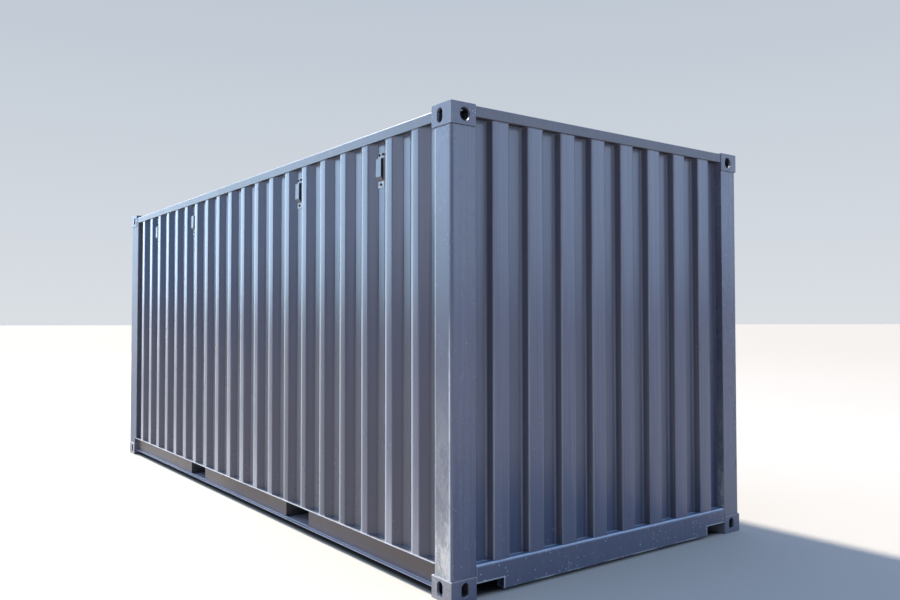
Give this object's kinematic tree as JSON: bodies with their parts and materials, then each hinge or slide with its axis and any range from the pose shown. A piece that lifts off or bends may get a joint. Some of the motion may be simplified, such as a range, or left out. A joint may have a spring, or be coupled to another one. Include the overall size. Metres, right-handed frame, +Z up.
{
  "type": "shipping container",
  "caption": "Closed general-purpose steel freight box with corrugated walls, blind front end, double doors at the rear, fork pockets and a cast fitting at every corner.",
  "frame": {"origin": "middle of the underside of the bottom corner fittings, at ground level", "axes": "+X along the container towards the blind front end, with the doors at -X; +Y to the left seen from the doors; +Z up"},
  "size_m": [6.058, 2.438, 2.591],
  "materials": {
    "blue_paint": "weathered satin, dusty, lightly chipped",
    "fitting_paint": "thick satin paint over cast steel, chipped at the edges",
    "underside_paint": "matt protective coat, dusty",
    "deck_plywood": "worn matt",
    "gasket_rubber": "matt",
    "galvanised": "dull zinc"
  },
  "bodies": {
    "root": {"fitting_bottom_front_right": "fitting_paint", "fitting_bottom_front_left": "fitting_paint", "fitting_bottom_rear_right": "fitting_paint", "fitting_bottom_rear_left": "fitting_paint", "fitting_top_front_right": "fitting_paint", "fitting_top_front_left": "fitting_paint", "fitting_top_rear_right": "fitting_paint", "fitting_top_rear_left": "fitting_paint", "front_post_right": "blue_paint", "front_post_left": "blue_paint", "rear_post_right": "blue_paint", "rear_post_left": "blue_paint", "front_header": "blue_paint", "front_sill": "blue_paint", "front_wall": "blue_paint", "top_rail_right": "blue_paint", "top_rail_left": "blue_paint", "bottom_rail_right": "blue_paint", "bottom_rail_left": "blue_paint", "side_wall_right": "blue_paint", "side_wall_left": "blue_paint", "vents_right": "blue_paint", "vents_left": "blue_paint", "roof_sheet": "blue_paint", "roof_gussets": "blue_paint", "cross_members": "underside_paint", "pocket_walls": "underside_paint", "pocket_tops": "underside_paint", "pocket_plates": "blue_paint", "pocket_lintels": "blue_paint", "floor_deck": "deck_plywood", "floor_centre_rail": "underside_paint", "door_header": "blue_paint", "door_sill": "blue_paint", "door_right": "blue_paint", "door_left": "blue_paint", "door_gaskets": "gasket_rubber", "door_hinges_right": "blue_paint", "door_hinges_left": "blue_paint", "lock_rods_right": "galvanised", "lock_rods_left": "galvanised", "rod_brackets": "galvanised", "cam_keepers": "blue_paint", "door_handles": "galvanised", "handle_catches": "blue_paint"}
  },
  "joints": []
}
